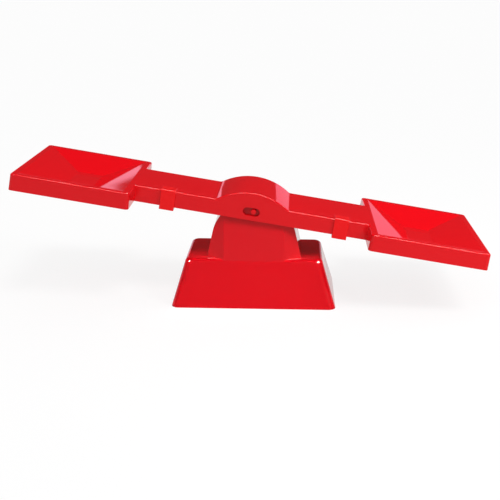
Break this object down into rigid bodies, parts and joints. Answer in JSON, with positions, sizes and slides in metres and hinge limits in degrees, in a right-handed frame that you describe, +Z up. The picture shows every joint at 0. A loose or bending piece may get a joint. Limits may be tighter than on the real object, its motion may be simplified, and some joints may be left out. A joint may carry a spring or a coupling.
{
  "type": "toy balance scale",
  "caption": "Moulded plastic rocker balance: hollow flared base with an arched tower, humped beam with a hopper tray at each end, and sliding zero-adjust riders.",
  "frame": {"origin": "on the table, under the middle of the toy's outer box as it stands tilted; the pivot stands 2 mm to the right of it", "axes": "+X along the beam's length towards the lower tray, +Y away from the front, +Z up"},
  "size_m": [0.3576, 0.1108, 0.1098],
  "materials": {
    "base": "glossy moulded red plastic",
    "pin": "glossy moulded red plastic",
    "beam": "glossy moulded red plastic",
    "rider": "glossy moulded red plastic"
  },
  "bodies": {
    "base": {"base": "base", "pivot_pin": "pin"},
    "beam": {"beam": "beam"},
    "rider_left": {"rider_left": "rider"},
    "rider_right": {"rider_right": "rider"}
  },
  "joints": [
    {"name": "beam_tilt", "type": "hinge", "parent": "base", "child": "beam", "pos_m": [0.002, 0, 0.0858], "axis": [0, 1, 0], "range_deg": [-22.8, 4.2]},
    {"name": "rider_left_slide", "type": "slide", "parent": "beam", "child": "rider_left", "axis": [0.9869, 0, -0.1616], "range_m": [-0.0193, 0.0202]},
    {"name": "rider_right_slide", "type": "slide", "parent": "beam", "child": "rider_right", "axis": [0.9869, 0, -0.1616], "range_m": [-0.025, 0.0145]}
  ]
}
